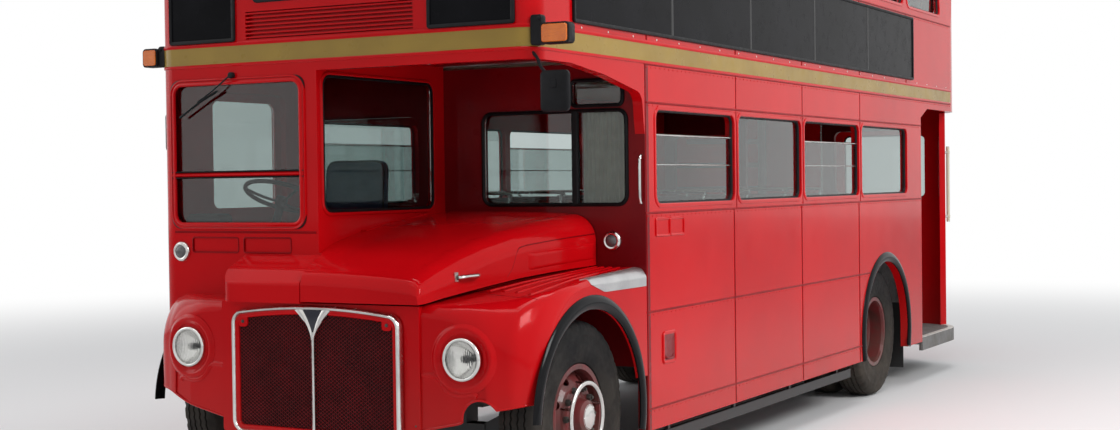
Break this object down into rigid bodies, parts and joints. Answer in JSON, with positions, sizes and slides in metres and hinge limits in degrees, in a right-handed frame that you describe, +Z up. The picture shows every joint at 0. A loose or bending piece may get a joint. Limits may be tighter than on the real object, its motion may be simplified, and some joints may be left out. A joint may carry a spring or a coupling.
{
  "type": "half-cab double decker bus",
  "caption": "Red half-cab double decker bus with an open rear platform, steered front wheels, lifting bonnet, sliding cab door and hinged emergency window",
  "frame": {"origin": "on the ground at the middle of the vehicle's box", "axes": "+X to the nearside (kerb side), +Y to the rear, +Z up"},
  "size_m": [2.779, 8.382, 4.38],
  "materials": {
    "red_paint": "glossy coachwork red",
    "shaded_red": "glossy coachwork red",
    "wheel_maroon": "worn maroon enamel",
    "gold_paint": "glossy old gold",
    "black_board": "satin black",
    "chassis_black": "road-dulled black",
    "casting": "bare casting",
    "tyre": "worn black rubber",
    "rubber": "moulded black rubber",
    "polished": "polished, lightly pitted",
    "mesh_red": "dark red expanded mesh",
    "glass": "clear",
    "lamp_glass": "clear moulded lens",
    "black_plastic": "grained",
    "moquette": "woven check",
    "floor_grey": "ribbed floor covering",
    "handrail": "polished"
  },
  "bodies": {
    "vehicle": {"chassis_frame": "chassis_black", "engine_block": "casting", "front_axle": "chassis_black", "rear_axle": "chassis_black", "lower_floor": "floor_grey", "rear_platform": "floor_grey", "nearside_lower_side": "red_paint", "offside_lower_side": "red_paint", "saloon_bulkheads": "shaded_red", "lower_rear_panel": "red_paint", "staircase": "floor_grey", "cab_shell": "red_paint", "front_wings": "red_paint", "grille_frame": "polished", "grille_mesh": "mesh_red", "arch_trims": "rubber", "nose_panel": "red_paint", "guard_rails": "chassis_black", "canopy": "red_paint", "upper_floor": "red_paint", "upper_front": "red_paint", "upper_sides": "red_paint", "upper_rear": "red_paint", "roof": "red_paint", "window_glass": "glass", "seats": "moquette", "handrails": "handrail", "cab_controls": "black_plastic", "lamps": "lamp_glass", "mirrors": "black_plastic", "gold_band": "gold_paint", "boards": "black_board"},
    "front_nearside_steer": {"front_nearside_knuckle": "casting"},
    "front_offside_steer": {"front_offside_knuckle": "casting"},
    "front_nearside_roll": {"front_nearside_tyre": "tyre", "front_nearside_wheel": "wheel_maroon"},
    "front_offside_roll": {"front_offside_tyre": "tyre", "front_offside_wheel": "wheel_maroon"},
    "rear_nearside_roll": {"rear_nearside_tyre": "tyre", "rear_nearside_wheel": "wheel_maroon"},
    "rear_offside_roll": {"rear_offside_tyre": "tyre", "rear_offside_wheel": "wheel_maroon"},
    "bonnet": {"bonnet": "red_paint"},
    "cab_door": {"cab_door": "red_paint", "cab_door_glass": "glass"},
    "emergency_window": {"emergency_window": "red_paint", "emergency_glass": "glass"}
  },
  "joints": [
    {"name": "steer_nearside", "type": "hinge", "parent": "vehicle", "child": "front_nearside_steer", "pos_m": [0.8, -3.391, 0.51], "axis": [0, 0, 1], "range_deg": [-34, 34]},
    {"name": "steer_offside", "type": "hinge", "parent": "vehicle", "child": "front_offside_steer", "pos_m": [-0.8, -3.391, 0.51], "axis": [0, 0, 1], "range_deg": [-34, 34]},
    {"name": "roll_front_nearside", "type": "hinge", "parent": "front_nearside_steer", "child": "front_nearside_roll", "pos_m": [1.035, -3.391, 0.51], "axis": [1, 0, 0], "continuous": true},
    {"name": "roll_front_offside", "type": "hinge", "parent": "front_offside_steer", "child": "front_offside_roll", "pos_m": [-1.035, -3.391, 0.51], "axis": [1, 0, 0], "continuous": true},
    {"name": "roll_rear_nearside", "type": "hinge", "parent": "vehicle", "child": "rear_nearside_roll", "pos_m": [0.87, 1.74, 0.51], "axis": [1, 0, 0], "continuous": true},
    {"name": "roll_rear_offside", "type": "hinge", "parent": "vehicle", "child": "rear_offside_roll", "pos_m": [-0.87, 1.74, 0.51], "axis": [1, 0, 0], "continuous": true},
    {"name": "bonnet_lift", "type": "hinge", "parent": "vehicle", "child": "bonnet", "pos_m": [-0.075, -3.591, 1.488], "axis": [0, -0.9917, -0.1289], "range_deg": [0, 50]},
    {"name": "cab_door_slide", "type": "slide", "parent": "vehicle", "child": "cab_door", "axis": [0, 1, 0], "range_m": [0, 0.64]},
    {"name": "emergency_window_lift", "type": "hinge", "parent": "vehicle", "child": "emergency_window", "pos_m": [0, 4.169, 3.708], "axis": [1, 0, 0], "range_deg": [0, 80]}
  ],
  "couplings": [
    {"joint": "steer_offside", "follows": "steer_nearside", "ratio": 1}
  ]
}
